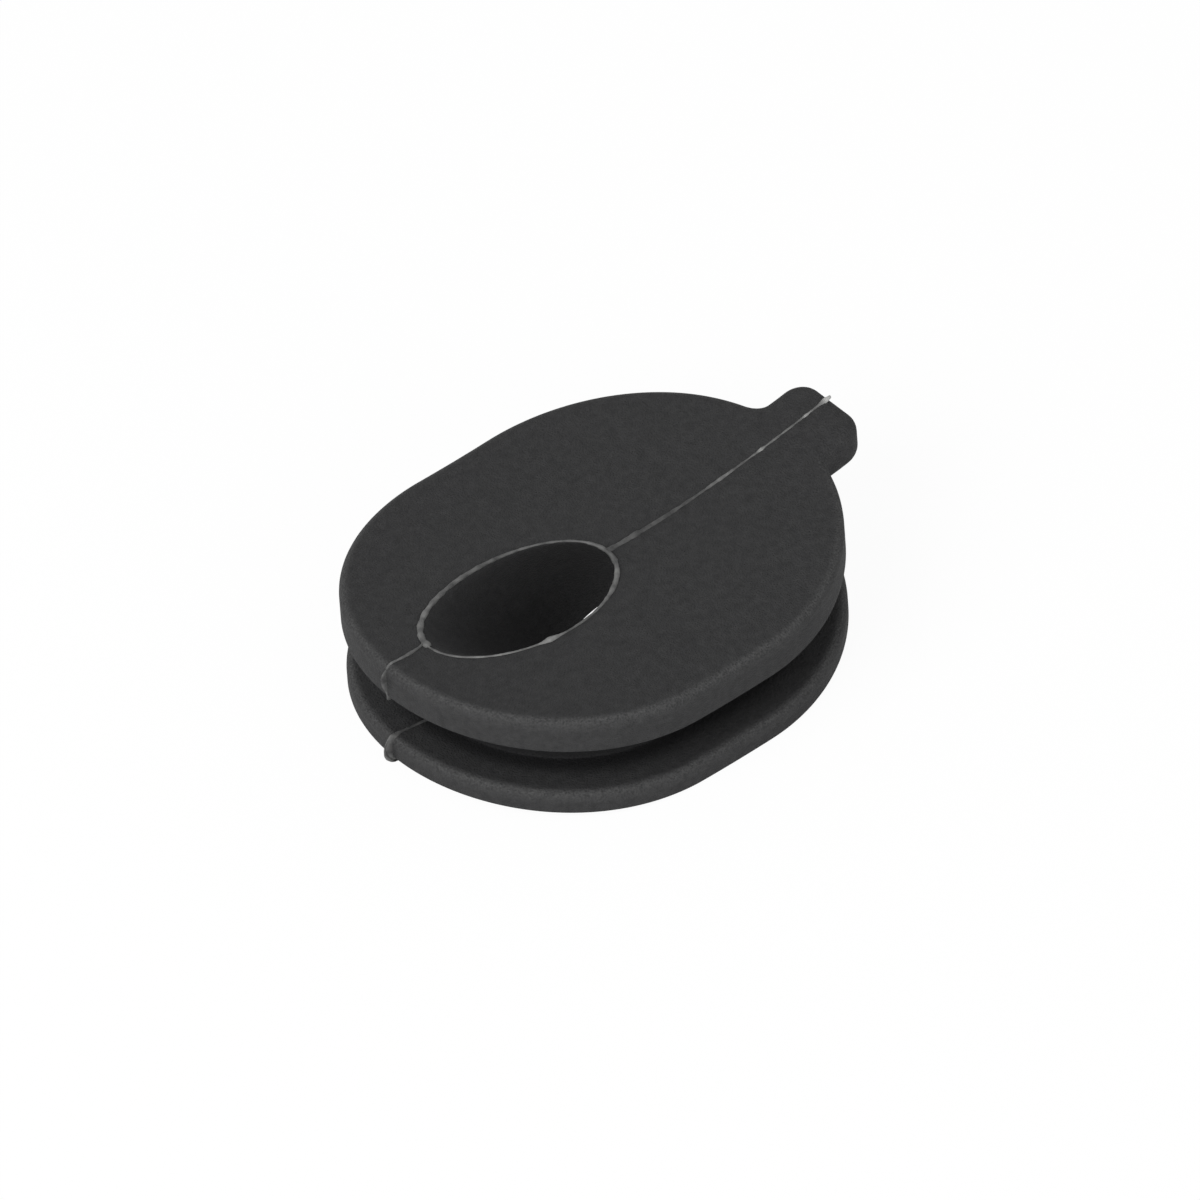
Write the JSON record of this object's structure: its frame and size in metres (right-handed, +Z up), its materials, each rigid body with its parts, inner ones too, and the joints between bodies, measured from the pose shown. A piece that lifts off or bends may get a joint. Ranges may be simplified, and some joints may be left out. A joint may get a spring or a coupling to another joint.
{
  "type": "rubber grommet",
  "caption": "Moulded rubber cable grommet with bent oval flanges, a panel groove between them, a slanted round bore and a short end nub.",
  "frame": {"origin": "middle of the part's length and width, at the lowest line of its underside", "axes": "+X along the part towards the nub, +Y across the part, +Z up from the lower flange to the upper one"},
  "size_m": [0.0214, 0.016, 0.0056],
  "materials": {
    "rubber": "matte, fine moulded grain"
  },
  "bodies": {
    "root": {"grommet": "rubber"}
  },
  "joints": []
}
